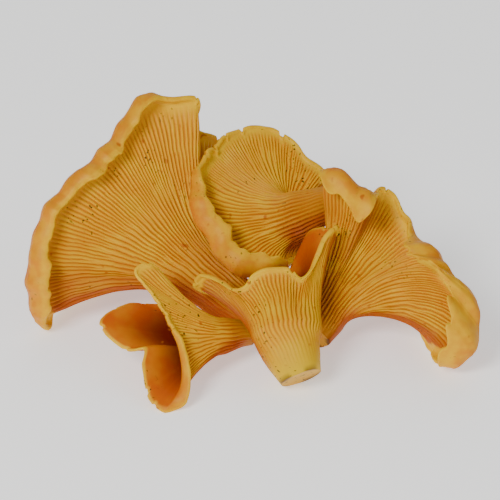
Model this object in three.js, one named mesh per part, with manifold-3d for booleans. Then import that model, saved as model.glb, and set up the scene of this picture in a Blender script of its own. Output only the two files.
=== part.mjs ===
// A heap of five chanterelle mushrooms, as picked, lying on a table. Each mushroom is one solid: a short
// stem that widens into a wavy funnel, with forking ridges on its outside and a margin that rolls over.
//
// Every mushroom is drawn as it looks in the picture: right, up and near (towards the eye), in millimetres.
// The heap is then leaned back by the angle at which the eye looks down, so that it rests on the table.
import * as THREE from 'three';
import Module from 'manifold-3d';

const EYE_ELEVATION = THREE.MathUtils.degToRad(30);
const TABLE_BELOW = 25.5; // the table lies this far below the middle of the picture
const HEAP_MIDDLE = { x: 0.45, y: -7.45 }; // the middle of the heap's footprint, which becomes the origin

const FORK_AT = 0.42; // share of the wall's length at which each ridge forks in two
const RIDGES_FADE_AT = 0.93; // share of the wall's length at which the ridges run out
const LOWER_ROWS = 4; // rows of facets from the neck to the fork
const UPPER_ROWS = 6; // rows of facets from the fork to the margin
const ROOM_FOR_RIDGE = 1.4; // a ridge is full where the next furrow is this many heights away
const ROLL_ROWS = 3; // rows of facets round the rolled margin
const INSIDE_ROWS = 5; // rows of facets down the inside of the funnel
const STEM_ROWS = 3; // rows of facets along the stem
const MARGIN_LENGTH_STEPS = 600; // steps in which the margin's length is measured
const PHASE_SAMPLES = 180; // places round the margin that are compared with the neck's ring
const FULL_FADE = 0.12; // share of the wall's length over which the ridges run out
const MOST_TURNED_BACK = 0.5; // a wall less straight than this leaves the neck sideways as well
const FRAME_STEPS = 4; // places felt to either side to find the wall's slope
const NEAR_REACH = 0.8; // how far round, in ridges, the wall is felt to either side to find its slope
const WIDE_REACH = 3; // the same for the margin and the inside skin, which turn gently in a tight fold
const WIDE_SPAN = 7; // and they feel at least so many millimetres of wall to either side
const WIDEST_REACH = 8; // and at most so far round, in ridges
const FLESH_THINS_BY = 0.6; // share of the wall's length by which the flesh is as thin as at the margin
const SHORTEST_FLAP = 0.4; // millimetres that the skin runs on after every roll
const RISE_BEFORE_HANG = 0.4; // a wall that hangs at its margin first rises by this share of the hang
const BLUNT_EDGE = 0.45; // how far the edge bulges past the roll, as a share of its thickness
const FUNNEL_FLOOR_AT = 0.34; // share of the wall's length at which the funnel's floor closes
const CREASED_BELOW = 0.4; // straightness of the wall below which the ridges only start past the neck
const OPEN_ABOVE = 0.75; // straightness above which they run down to the stem

// The margin's points are in order round the cap: [right, up, near, roll radius, roll turn, flap, hang].
// The roll turns in by so many degrees. The flap is how far the skin runs on after the roll. The hang is
// how steeply the wall drops towards the margin. Where they are left out, the flap is the shortest one and
// the hang is 0.
// The stem's points are [right, up, near, radius], from the cut end to the neck.
const MUSHROOMS = [
  {
    name: 'wide_fan_chanterelle',
    ridges: 58,
    ridgeHeight: 0.9,
    flesh: [3.6, 1.8],
    flare: 0.18,
    neckPull: 0.46,
    marginPull: 0.42,
    stem: [[6, -24, 1.5, 6.2], [0, -20.3, 0, 7.2], [-7, -14.9, -1.2, 8.2]],
    margin: [
      [-17.2, 49.6, -5, 1.0, 50], [-27, 50.4, -4, 1.8, 110], [-36.5, 49, -1, 2.0, 160, 1],
      [-42.5, 41.5, 2, 2.0, 165, 1.5], [-48, 33, 5, 2.0, 165, 1.5], [-54.5, 26.2, 8, 2.2, 165, 1.5],
      [-61, 20.6, 9, 2.0, 160, 1], [-66.5, 12.5, 9, 2.2, 160, 1], [-70, 4.5, 8, 2.2, 165, 1.5],
      [-72, -5, 6, 2.8, 172, 2.5], [-71.5, -15, 1, 2.8, 172, 2.5, 0.2],
      [-68.4, -23.5, -5, 1.6, 120, 0, 0.35], [-64, -17.6, -13, 1.0, 40, 0, 0.15],
      [-57, -13, -22, 1.0, 30], [-46, -10, -33, 1.0, 30], [-34, -5.8, -41.5, 1.0, 30],
      [-20, 3, -43, 1.0, 30], [-9, 13, -38, 1.0, 30], [-5.5, 26, -32, 1.0, 30], [-8, 34.5, -26, 1.0, 30],
      [-14, 38.4, -19, 1.0, 30], [-21.4, 41, -11.5, 1.0, 30], [-17, 44.6, -7.5, 1.0, 40],
    ],
  },
  {
    name: 'middle_chanterelle',
    ridges: 46,
    ridgeHeight: 0.9,
    flesh: [3.4, 1.8],
    flare: 0.25,
    neckPull: 0.3,
    marginPull: 0.45,
    stem: [[28.5, 15.9, -4.2, 5.3], [24.5, 14.7, -3.8, 5.9], [20.5, 13.1, -3.4, 6.8], [15, 11, -3.5, 8.0]],
    margin: [
      [25, 24.6, -16, 1.0, 30], [17.2, 32, -17, 1.0, 30], [12.5, 37.6, -19, 1.0, 30],
      [4.8, 40.4, -19, 1.0, 30], [-3.4, 39.6, -16, 1.0, 30], [-11.2, 35.2, -9.5, 1.2, 60],
      [-17, 28.2, -1.8, 1.6, 90], [-20.8, 19.2, 4, 2.2, 150, 1], [-19.6, 11.2, 7, 2.6, 165, 2],
      [-15.4, 3.2, 9, 2.6, 165, 2.5], [-10, -4, 10, 2.4, 165, 2], [-1.8, -10, 10, 2.8, 165, 3],
      [6, -9.4, 8.5, 2.4, 150, 2], [12.6, -5.8, 0, 1.0, 60], [21.4, -4.4, -14, 1.0, 20],
      [22, 6, -25, 1.0, 20], [25, 17.4, -25, 1.0, 20],
    ],
  },
  {
    name: 'right_chanterelle',
    ridges: 56,
    ridgeHeight: 0.9,
    flesh: [2.4, 1.6],
    flare: 0.2,
    neckPull: 0.36,
    marginPull: 0.42,
    stem: [[20.5, -27.5, 9, 5.0], [22, -25.2, 7.4, 5.6], [24, -22, 5.6, 6.4]],
    margin: [
      [22.6, 25.4, 10.5, 0.8, 60], [28.6, 26.6, 13.5, 2.4, 165, 4.5], [34.6, 22, 13, 2.6, 170, 6],
      [38.8, 18.8, 9.5, 1.4, 90], [42, 20.6, 5.5, 1.0, 40], [46.2, 18, 2, 1.0, 40],
      [50.2, 12, 3, 1.2, 60], [54.2, 4.2, 7, 2.0, 130, 1], [59.6, -1, 12, 3.0, 165, 4, 0.2],
      [65.8, -11, 15, 3.8, 170, 9, 0.5], [71, -23.5, 17, 4.0, 172, 13, 0.8],
      [70.4, -31, 17.5, 3.6, 170, 12, 1.1], [66.5, -36.2, 17, 3.0, 157, 7.4, 1.7],
      [61.6, -35.4, 14, 1.4, 100, 1.5, 2.0], [57.6, -32, 8, 0.8, 50, 0, 2.0],
      [55, -26.4, -1, 0.7, 40, 0, 1.5], [54, -19, -11, 0.7, 30, 0, 0.8], [52, -14.6, -25, 0.7, 30, 0, 0.1],
      [48, -2, -27, 1.0, 30], [43, 4.5, -19, 1.0, 30], [37.5, 9.5, -9, 0.6, 30],
      [31.6, 13.4, 0.5, 0.5, 30], [25.6, 20, 6, 0.5, 30],
    ],
  },
  {
    name: 'front_chanterelle',
    ridges: 42,
    ridgeHeight: 0.7,
    flesh: [2.4, 1.5],
    flare: 0.1,
    neckPull: 0.3,
    marginPull: 0.35,
    stem: [[15.8, -39.6, 28, 6.7], [14, -34.8, 26.6, 8.4], [12.2, -29.6, 24.6, 9.8], [11.6, -26, 23, 11]],
    margin: [
      [-17.6, -11.4, 14.5, 0.8, 40], [-16, -7.8, 17, 0.8, 50], [-11, -9, 19.5, 0.8, 50],
      [-5.4, -12.6, 21.6, 0.4, 20], [-2, -12, 23.2, 0.4, 20], [0.8, -7.8, 24.4, 0.4, 20],
      [6, -6, 24.8, 0.4, 20], [12, -6.8, 24, 0.4, 20], [16, -9.2, 23, 0.4, 20],
      [19.2, -6.4, 21.8, 0.4, 20], [22, -1.2, 20, 0.4, 20], [24.6, 4.4, 18, 0.4, 20],
      [27.6, 7, 15.4, 0.4, 20], [27.8, 5.2, 11.8, 0.4, 20], [23.6, 5.4, 7.6, 0.4, 20],
      [19.5, 5.2, 3.2, 0.4, 20], [15.5, -3, 3.6, 0.4, 20], [9, -14, 7, 0.4, 20], [1, -18, 10.5, 0.4, 20],
      [-8, -15.6, 11.4, 0.4, 20],
    ],
  },
  {
    name: 'small_trumpet_chanterelle',
    ridges: 42,
    ridgeHeight: 0.6,
    flesh: [2.0, 1.2],
    flare: 0.1,
    neckPull: 0.35,
    marginPull: 0.3,
    stem: [[0, -26.4, 11, 3.6], [-4.2, -26.4, 14, 4.6], [-8.5, -26.9, 17, 5.6]],
    margin: [
      [-35.5, -6.5, 24.5, 0.6, 30], [-31.5, -4, 23, 0.6, 30], [-25, -10.5, 17.5, 0.4, 20],
      [-22.5, -16, 13, 0.4, 20], [-31, -17.5, 12.5, 0.4, 20], [-39, -17.6, 15, 0.4, 20],
      [-46.7, -23, 20, 0.4, 20], [-38, -31.4, 25, 0.4, 20], [-32.6, -31, 27, 0.4, 20],
      [-33, -35.5, 29.5, 0.4, 20], [-32.4, -41, 32, 0.4, 20], [-30, -47, 34.6, 0.4, 20],
      [-26, -49.9, 36, 0.8, 50], [-22.2, -45.8, 36, 1.6, 100], [-21.4, -38.4, 34.6, 1.8, 110],
      [-23, -29.5, 32, 1.6, 100], [-25.8, -22, 29, 1.0, 60], [-30, -14, 27, 0.6, 30],
    ],
  },
];

const wasm = await Module();
wasm.setup();

// A point of the drawing as a point above the table.
function onTable([right, up, near]) {
  const [sin, cos] = [Math.sin(EYE_ELEVATION), Math.cos(EYE_ELEVATION)];
  return new THREE.Vector3(
    right - HEAP_MIDDLE.x,
    up * sin - near * cos - HEAP_MIDDLE.y,
    up * cos + near * sin + TABLE_BELOW,
  );
}

// A number that eases from one of a ring of values to the next.
function easedAround(values, position) {
  const here = Math.floor(position) % values.length;
  const eased = THREE.MathUtils.smoothstep(position - Math.floor(position), 0, 1);
  return THREE.MathUtils.lerp(values[here], values[(here + 1) % values.length], eased);
}

// The stem's centreline as stations: a middle, a direction, a radius and a side that doesn't twist.
function stemStations(stem) {
  const curve = new THREE.CatmullRomCurve3(stem.map(onTable), false, 'centripetal');
  const firstSide = new THREE.Vector3(0, 0, 1);
  const last = stem.length - 1;
  const stations = [];
  for (let row = 0; row <= STEM_ROWS; row++) {
    const t = row / STEM_ROWS;
    const direction = curve.getTangent(t);
    const side = firstSide.clone().projectOnPlane(direction).normalize();
    const across = direction.clone().cross(side);
    const from = Math.min(Math.floor(t * last), last - 1);
    const radius = THREE.MathUtils.lerp(stem[from][3], stem[from + 1][3], t * last - from);
    stations.push({ middle: curve.getPoint(t), direction, side, across, radius });
  }
  return stations;
}

// A point on the ring round a stem station.
function ringPoint({ middle, side, across, radius }, angle) {
  return middle.clone()
    .addScaledVector(side, Math.cos(angle) * radius)
    .addScaledVector(across, Math.sin(angle) * radius);
}

// The margin as a closed curve read by its length, with the roll's radius and turn at each place.
function marginReader(margin) {
  const curve = new THREE.CatmullRomCurve3(margin.map(onTable), true, 'centripetal');
  curve.arcLengthDivisions = MARGIN_LENGTH_STEPS;
  const radii = margin.map((point) => point[3]);
  const turns = margin.map((point) => THREE.MathUtils.degToRad(point[4]));
  const flaps = margin.map((point) => point[5] || SHORTEST_FLAP);
  const hangs = margin.map((point) => point[6] ?? 0);
  return (around) => {
    const t = curve.getUtoTmapping(((around % 1) + 1) % 1);
    const position = t * margin.length;
    return {
      point: curve.getPoint(t),
      rollRadius: easedAround(radii, position),
      rollTurn: easedAround(turns, position),
      flap: easedAround(flaps, position),
      hang: easedAround(hangs, position),
    };
  };
}

// Which way the margin runs round the neck, and at which ring angle it starts, so that the wall twists
// least.
function ringPhase(readMargin, neck) {
  let best = { length: -1 };
  for (const sense of [1, -1]) {
    const sum = new THREE.Vector2();
    for (let i = 0; i < PHASE_SAMPLES; i++) {
      const around = i / PHASE_SAMPLES;
      const arm = readMargin(around).point.sub(neck.middle);
      const angle = Math.atan2(arm.dot(neck.across), arm.dot(neck.side)) - sense * around * 2 * Math.PI;
      sum.add(new THREE.Vector2(Math.cos(angle), Math.sin(angle)));
    }
    if (sum.length() > best.length) best = { length: sum.length(), sense, start: sum.angle() };
  }
  return best;
}

// The smooth outside wall of the cap: point(around, along), along being 0 at the neck and 1 at the margin.
function wallOf(mushroom, neck) {
  const readMargin = marginReader(mushroom.margin);
  const phase = ringPhase(readMargin, neck);
  const [, marginFlesh] = mushroom.flesh;
  const ringAngle = (around) => phase.start + phase.sense * around * 2 * Math.PI;
  const meridians = new Map();

  function meridian(around) {
    const key = Math.round(around * 1e6);
    if (!meridians.has(key)) {
      const { point, rollRadius, rollTurn, flap, hang } = readMargin(around);
      const start = ringPoint(neck, ringAngle(around));
      const vertex = neck.middle.clone();
      const length = point.distanceTo(neck.middle);
      vertex.addScaledVector(neck.direction, length * mushroom.flare);
      const arrival = point.clone().sub(vertex).normalize();
      arrival.z -= hang;
      arrival.normalize();
      const reach = (rollRadius + marginFlesh) * Math.sin(Math.min(rollTurn, Math.PI / 2));
      const end = point.clone().addScaledVector(arrival, -reach);
      const span = start.distanceTo(end);
      // A wall that turns back over the stem leaves the neck sooner, and away from the stem.
      const straightness = (1 + neck.direction.dot(arrival)) / 2;
      const outward = start.clone().sub(neck.middle).normalize();
      const departure = neck.direction.clone().multiplyScalar(straightness);
      departure.addScaledVector(outward, Math.max(0, MOST_TURNED_BACK - straightness));
      departure.z += hang * RISE_BEFORE_HANG;
      const curve = new THREE.CubicBezierCurve3(
        start,
        start.clone().addScaledVector(departure, span * mushroom.neckPull),
        end.clone().addScaledVector(arrival, -span * mushroom.marginPull),
        end,
      );
      meridians.set(key, { curve, straightness, rollRadius, rollTurn, flap });
    }
    return meridians.get(key);
  }

  // The way from neck to margin, and the unit normal into the funnel, felt over a stretch of wall.
  function frame(around, along, reach = NEAR_REACH) {
    const out = meridian(around).curve.getTangent(along);
    const inward = new THREE.Vector3();
    const step = reach / mushroom.ridges / FRAME_STEPS;
    for (let i = -FRAME_STEPS; i <= FRAME_STEPS; i++) {
      const [behind, here, ahead] = [i - 1, i, i + 1].map((n) => meridian(around + n * step).curve);
      const across = ahead.getPoint(along).sub(behind.getPoint(along));
      across.multiplyScalar(FRAME_STEPS + 1 - Math.abs(i));
      inward.add(across.cross(here.getTangent(along)));
    }
    inward.multiplyScalar(-phase.sense).projectOnPlane(out).normalize();
    return { out, inward };
  }

  function wideFrame(around, along) {
    const beside = (side) => meridian(around + side / mushroom.ridges / 2).curve.getPoint(along);
    const reach = WIDE_SPAN / beside(1).distanceTo(beside(-1));
    return frame(around, along, THREE.MathUtils.clamp(reach, WIDE_REACH, WIDEST_REACH));
  }

  const point = (around, along) => meridian(around).curve.getPoint(along);
  return { ringAngle, meridian, frame, wideFrame, point };
}

// One closed ring of points on the skin.
const ring = (count, place) => Array.from({ length: count }, (_, i) => place(i / count, i));

// The rows of rings that cover a mushroom: from the cut end up the outside, over the margin and down inside.
function skinRows(mushroom) {
  const { ridges, ridgeHeight, flesh } = mushroom;
  const [neckFlesh, marginFlesh] = flesh;
  const coarse = ridges;
  const fine = ridges * 2;
  const stations = stemStations(mushroom.stem);
  const neck = stations[stations.length - 1];
  const wall = wallOf(mushroom, neck);
  const rows = [];

  // Ridges stand out of the wall and furrows sink into it, turn and turn about.
  const relief = (i, share) => (i % 2 ? -1 : 1) * ridgeHeight * 0.5 * share;
  const fade = (along) => THREE.MathUtils.smoothstep(RIDGES_FADE_AT - along, 0, FULL_FADE);
  // They are lower where the wall is gathered so tightly that there is no room for their full height, and
  // they start late in the crease where the wall turns back over the stem.
  const settled = (around) => {
    const { straightness } = wall.meridian(around);
    return THREE.MathUtils.smoothstep(straightness, CREASED_BELOW, OPEN_ABOVE);
  };
  const wallRing = (count, along) => ring(count, (around, i) => {
    const { inward } = wall.frame(around, along);
    const half = 0.5 / count;
    const room = wall.point(around + half, along).distanceTo(wall.point(around - half, along));
    const crowded = Math.min(1, room / ridgeHeight / ROOM_FOR_RIDGE);
    const begun = THREE.MathUtils.lerp(settled(around), 1, Math.min(1, along / FORK_AT));
    return wall.point(around, along).addScaledVector(inward, -relief(i, fade(along) * crowded * begun));
  });

  stations.slice(0, -1).forEach((station, row) => {
    rows.push(ring(coarse, (around, i) => {
      const share = row / STEM_ROWS;
      const place = ringPoint(station, wall.ringAngle(around));
      const height = relief(i, share * share * settled(around));
      return place.addScaledVector(place.clone().sub(station.middle).normalize(), height);
    }));
  });
  for (let row = 0; row <= LOWER_ROWS; row++) rows.push(wallRing(coarse, (FORK_AT * row) / LOWER_ROWS));
  for (let row = 1; row <= UPPER_ROWS; row++) {
    const along = THREE.MathUtils.lerp(FORK_AT, 1, row / UPPER_ROWS);
    rows.push(wallRing(row < UPPER_ROWS ? fine : coarse, along));
  }

  // The rolled margin: round on the outside skin, over the blunt edge, and back on the inside skin.
  const rollPoint = (around, turnShare, depth, flapShare = 0) => {
    const { rollRadius, rollTurn, flap } = wall.meridian(around);
    const { out, inward } = wall.wideFrame(around, 1);
    const turn = rollTurn * turnShare;
    const radius = rollRadius + depth;
    const run = flap * flapShare;
    return wall.point(around, 1)
      .addScaledVector(inward, radius * Math.cos(turn) - rollRadius - run * Math.sin(turn))
      .addScaledVector(out, radius * Math.sin(turn) + run * Math.cos(turn));
  };
  const rollRing = (row, depth) => {
    const turnShare = Math.min(row, ROLL_ROWS) / ROLL_ROWS;
    return ring(coarse, (around) => rollPoint(around, turnShare, depth, Math.max(0, row - ROLL_ROWS)));
  };
  for (let row = 1; row <= ROLL_ROWS + 1; row++) rows.push(rollRing(row, 0));
  rows.push(ring(coarse, (around) => {
    const { rollTurn } = wall.meridian(around);
    const { out, inward } = wall.wideFrame(around, 1);
    return rollPoint(around, 1, marginFlesh / 2, 1)
      .addScaledVector(inward, -Math.sin(rollTurn) * marginFlesh * BLUNT_EDGE)
      .addScaledVector(out, Math.cos(rollTurn) * marginFlesh * BLUNT_EDGE);
  }));
  for (let row = ROLL_ROWS + 1; row >= 0; row--) rows.push(rollRing(row, marginFlesh));

  // The inside of the funnel, one thickness of flesh in from the wall, down to where its floor closes.
  for (let row = INSIDE_ROWS - 1; row >= 0; row--) {
    const along = THREE.MathUtils.lerp(FUNNEL_FLOOR_AT, 1, row / INSIDE_ROWS);
    const thinned = Math.min(1, along / FLESH_THINS_BY);
    const thickness = THREE.MathUtils.lerp(neckFlesh, marginFlesh, thinned);
    rows.push(ring(coarse, (around) => {
      const { inward } = wall.wideFrame(around, along);
      return wall.point(around, along).addScaledVector(inward, thickness);
    }));
  }
  return { rows, stations };
}

// Facets between two rings with as many points, or with twice as many on one of them.
function stitch(faces, a, aCount, b, bCount) {
  const most = Math.max(aCount, bCount);
  for (let i = 0; i < most; i++) {
    const a0 = a + Math.floor((i * aCount) / most);
    const a1 = a + (Math.ceil(((i + 1) * aCount) / most) % aCount);
    const b0 = b + Math.floor((i * bCount) / most);
    const b1 = b + (Math.ceil(((i + 1) * bCount) / most) % bCount);
    if (aCount === bCount) {
      faces.push(a0, a1, b1, a0, b1, b0);
    } else if (aCount < bCount) {
      faces.push(i % 2 ? a1 : a0, b1, b0);
      if (i % 2) faces.push(a0, a1, b0);
    } else {
      faces.push(a0, a1, i % 2 ? b1 : b0);
      if (i % 2) faces.push(b0, a0, b1);
    }
  }
}

function meanPoint(points) {
  return points.reduce((sum, point) => sum.add(point), new THREE.Vector3()).divideScalar(points.length);
}

// The mushroom's closed skin as a geometry, pressed flat where it rests on the table.
function mushroomGeometry(mushroom) {
  const { rows, stations } = skinRows(mushroom);
  const points = [stations[0].middle.clone(), ...rows.flat(), meanPoint(rows[rows.length - 1])];
  const faces = [];
  const starts = [];
  let next = 1;
  for (const row of rows) {
    starts.push(next);
    next += row.length;
  }
  const fan = (centre, start, count, reverse) => {
    for (let i = 0; i < count; i++) {
      const [p, q] = [start + i, start + ((i + 1) % count)];
      faces.push(centre, reverse ? p : q, reverse ? q : p);
    }
  };
  fan(0, starts[0], rows[0].length, false);
  for (let i = 0; i < rows.length - 1; i++) {
    stitch(faces, starts[i], rows[i].length, starts[i + 1], rows[i + 1].length);
  }
  fan(points.length - 1, starts[starts.length - 1], rows[rows.length - 1].length, true);

  const positions = new Float32Array(points.flatMap(({ x, y, z }) => [x, y, Math.max(0, z)]));
  const geometry = new THREE.BufferGeometry();
  geometry.setAttribute('position', new THREE.BufferAttribute(positions, 3));
  geometry.setIndex(faces);
  return geometry;
}

// The same geometry with its faces pointing out.
function facingOut(geometry) {
  const triVerts = new Uint32Array(geometry.index.array);
  const mesh = new wasm.Mesh({ numProp: 3, vertProperties: geometry.attributes.position.array, triVerts });
  if (new wasm.Manifold(mesh).volume() < 0) {
    const index = geometry.index.array;
    for (let i = 0; i < index.length; i += 3) {
      [index[i + 1], index[i + 2]] = [index[i + 2], index[i + 1]];
    }
  }
  geometry.computeVertexNormals();
  return geometry;
}

const flesh = new THREE.MeshStandardMaterial({ color: '#e9a51c', roughness: 0.62, metalness: 0 });

const heap = new THREE.Group();
for (const mushroom of MUSHROOMS) {
  const mesh = new THREE.Mesh(facingOut(mushroomGeometry(mushroom)), flesh);
  mesh.name = mushroom.name;
  heap.add(mesh);
}

export default heap;
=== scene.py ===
"""A heap of five chanterelle mushrooms, as picked, lying on a pale table.

Each mushroom is a lofted skin: a short stem that widens into a wavy funnel. Geometry Nodes raise forking
ridges on its outside, with a new fork wherever the wall has widened enough for one.
"""

from __future__ import annotations

import logging
import math
from dataclasses import dataclass
from enum import Enum
from typing import Any, ClassVar, Sequence

import bpy
import numpy as np
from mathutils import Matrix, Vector


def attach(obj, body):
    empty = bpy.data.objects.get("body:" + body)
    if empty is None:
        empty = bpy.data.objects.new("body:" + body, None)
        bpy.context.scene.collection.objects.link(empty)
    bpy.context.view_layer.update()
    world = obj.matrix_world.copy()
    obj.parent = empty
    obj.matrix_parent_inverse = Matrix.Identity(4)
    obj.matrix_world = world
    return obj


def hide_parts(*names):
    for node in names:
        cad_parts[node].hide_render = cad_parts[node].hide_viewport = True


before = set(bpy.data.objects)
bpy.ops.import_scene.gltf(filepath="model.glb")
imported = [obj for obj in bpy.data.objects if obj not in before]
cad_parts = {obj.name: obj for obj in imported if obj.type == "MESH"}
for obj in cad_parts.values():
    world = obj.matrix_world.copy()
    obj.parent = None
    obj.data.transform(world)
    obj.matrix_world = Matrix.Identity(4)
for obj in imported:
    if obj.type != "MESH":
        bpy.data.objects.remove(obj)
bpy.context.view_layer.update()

log = logging.getLogger("heap")

# One number for all places, or one for each.
Amount = np.ndarray | float

MM = 0.001

# The drawing that the mushrooms are measured in: right, up and near (towards the eye), in millimetres.
EYE_ELEVATION = math.radians(30)
TABLE_BELOW = 25.5
HEAP_MIDDLE = (0.45, -7.45)

# Where along the wall things happen, as shares of its length from the neck to the margin.
RIDGES_FADE_AT = 0.99
RIDGES_FADE_OVER = 0.09
CREASE_ENDS_AT = 0.42
PALE_RIM_FROM = 0.95
FLESH_THINS_BY = 0.6
FUNNEL_FLOOR_AT = 0.34
DEEPEST_BELOW = 0.55

# The outside is painted a deeper orange as shade where it faces down and where it is low on the wall, by
# these amounts.
SHADE_UNDERNEATH, UNDERNEATH_AMOUNT = (-0.5, 0.3), 0.9
SHADE_LOW_DOWN, LOW_DOWN_AMOUNT = (0.5, 1.0), 0.4
DARKEST_LOWER_SHADE = 0.85

# The margin wanders and is torn, in millimetres, but it is torn only where it isn't rolled.
WANDER, TEAR = 0.5, 1.4
TORN_BETWEEN = (0.62, 1.0)
ROLLED_BETWEEN = (math.radians(50), math.radians(110))
MOST_MISSING = 0.25
FRAYED = 0.2

# The cut end: how its outline wanders, how deep its face is dished, in millimetres, how its edge and the
# stem next to it have browned, and how far up the stem the base is pale.
KNOB_DRAW, KNOBS, KNOBBLY = 11, (2, 7), 0.05
DISH = 0.5
KNOBS_BROWN = 0.2
BROWN_EDGE, BROWNEST = (0.8, 1.1), 0.9
BROWN_PATCHES, PATCHES_BROWNEST, PATCHES_FADE = (-0.4, 0.4), 0.7, 6
PALE_BASE = (0.3, 1.0)

# A wall whose straightness is below the first of these turns back over the stem in a crease.
CREASED_BELOW, OPEN_ABOVE = 0.4, 0.75
MOST_TURNED_BACK = 0.5
RISE_BEFORE_HANG = 0.4

# How widely the wall is felt to find its slope, in ridges of the plain solid and in millimetres.
NEAR_REACH = 0.8
WIDE_REACH, WIDEST_REACH = 3.0, 8.0
WIDE_SPAN = 7.0
FEELERS = 4

SHORTEST_FLAP = 0.4
BLUNT_EDGE = 0.45
LENGTH_SAMPLES = 600
PHASE_SAMPLES = 180
WIDTHS_EASED = 60

# Rows of the fine skin.
CUT_ROWS = (0.3, 0.6, 0.85, 0.97)
STEM_ROWS = 9
WALL_ROWS = 46
ROLL_ROWS = 7
FLAP_ROWS = 3
EDGE_ROWS = 3
INSIDE_ROLL_ROWS = 4
INSIDE_ROWS = 9


class Body(Enum):
    """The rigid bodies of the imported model."""

    ROOT = "root"


class Slot(Enum):
    """The record's material slots."""

    FLESH = "mushroom_flesh"


class Draw(Enum):
    """A margin's noises: what each adds to the seed, and its longest and shortest waves in millimetres."""

    LUMPS = (21, 30, 8)
    FRAYS = (31, 20, 4)
    WANDER = (41, 40, 10)
    TEARS = (51, 12, 4)


class Layer(Enum):
    """The numbers that a skin carries at each of its points."""

    OUTWARD = "outward"
    PHASE = "phase"
    LEVEL = "level"
    ROOM = "room"
    FURROW_SHADE = "crest"
    INSIDE = "inside"
    PAINTED_SHADE = "deep"
    MARGIN = "margin"
    BASE = "base"
    CUT = "cut"
    BROWN = "brown"


def linear(hex_colour: str) -> tuple[float, float, float, float]:
    """Turns an sRGB hex colour to the linear values that shaders take.

    Args:
        hex_colour: The colour as "#rrggbb".

    Returns:
        Red, green, blue and an alpha of 1.
    """
    parts = [int(hex_colour[i : i + 2], 16) / 255 for i in (1, 3, 5)]
    red, green, blue = (p / 12.92 if p <= 0.04045 else ((p + 0.055) / 1.055) ** 2.4 for p in parts)
    return (red, green, blue, 1.0)


def add_node(
    tree: bpy.types.NodeTree,
    kind: str,
    settings: dict[str, Any] | None = None,
    inputs: dict[str | int, Any] | None = None,
) -> bpy.types.Node:
    """Adds a node with its settings, and sets or links its inputs.

    Args:
        tree: The tree that the node goes into.
        kind: The node's type, such as "ShaderNodeMath".
        settings: The node's own properties.
        inputs: A socket of another node, or a plain value, for each input by name or number.

    Returns:
        The new node.
    """
    node = tree.nodes.new(kind)
    for name, value in (settings or {}).items():
        setattr(node, name, value)
    for key, value in (inputs or {}).items():
        if isinstance(value, bpy.types.NodeSocket):
            tree.links.new(value, node.inputs[key])
        else:
            node.inputs[key].default_value = value
    return node


def placed(name: str, data: bpy.types.ID) -> bpy.types.Object:
    """Puts an object with this mesh, light or camera in the scene."""
    made = bpy.data.objects.new(name, data)
    bpy.context.scene.collection.objects.link(made)
    return made


def smooth(value: Amount, low: float, high: float) -> Amount:
    """Eases from 0 at low to 1 at high.

    Args:
        value: The number or numbers to ease.
        low: Where the easing starts.
        high: Where it ends.

    Returns:
        The eased number or numbers.
    """
    share = np.clip((value - low) / (high - low), 0, 1)
    return share * share * (3 - 2 * share)


def unit(vectors: np.ndarray) -> np.ndarray:
    """Scales vectors, held in the last axis, to a length of 1."""
    return vectors / np.linalg.norm(vectors, axis=-1, keepdims=True)


def on_table(drawn: np.ndarray) -> np.ndarray:
    """Turns points of the drawing into points above the table.

    Args:
        drawn: Rows of right, up and near, in millimetres.

    Returns:
        Rows of x, y and z, in millimetres.
    """
    right, up, near = np.moveaxis(np.asarray(drawn, float), -1, 0)
    sine, cosine = math.sin(EYE_ELEVATION), math.cos(EYE_ELEVATION)
    x = right - HEAP_MIDDLE[0]
    y = up * sine - near * cosine - HEAP_MIDDLE[1]
    z = up * cosine + near * sine + TABLE_BELOW
    return np.stack([x, y, z], -1)


class RingNoise:
    """Smooth noise round a ring, from -1 to 1, that closes on itself."""

    def __init__(self, seed: int, lowest: int, highest: int) -> None:
        """Draws the waves.

        Args:
            seed: Fixes the draw.
            lowest: Waves round the ring in the slowest wave.
            highest: Waves round the ring in the fastest wave.
        """
        draw = np.random.default_rng(seed)
        self.counts = np.arange(lowest, highest + 1)
        self.phases = draw.uniform(0, 2 * math.pi, len(self.counts))
        self.sizes = draw.normal(0, 1, len(self.counts)) / math.sqrt(len(self.counts))

    def __call__(self, around: np.ndarray) -> np.ndarray:
        """Reads the noise at places round the ring, given as shares of a turn."""
        waves = np.cos(2 * math.pi * np.multiply.outer(around, self.counts) + self.phases)
        return np.clip(waves @ self.sizes, -1, 1)


def spline(points: Sequence[np.ndarray], share: np.ndarray) -> np.ndarray:
    """Reads a centripetal Catmull-Rom curve between the middle two of four points.

    Args:
        points: The point before the stretch, its two ends and the point after it.
        share: How far along the stretch to read.

    Returns:
        The points on the curve.
    """
    before, here, after, beyond = points
    span = [np.sqrt(np.linalg.norm(q - p, axis=-1, keepdims=True)) for p, q in zip(points, points[1:])]
    leave = (here - before) / span[0] - (after - before) / (span[0] + span[1]) + (after - here) / span[1]
    arrive = (after - here) / span[1] - (beyond - here) / (span[1] + span[2]) + (beyond - after) / span[2]
    leave, arrive, w = leave * span[1], arrive * span[1], share[..., None]
    square = -3 * here + 3 * after - 2 * leave - arrive
    cube = 2 * here - 2 * after + leave + arrive
    return here + leave * w + square * w**2 + cube * w**3


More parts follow.
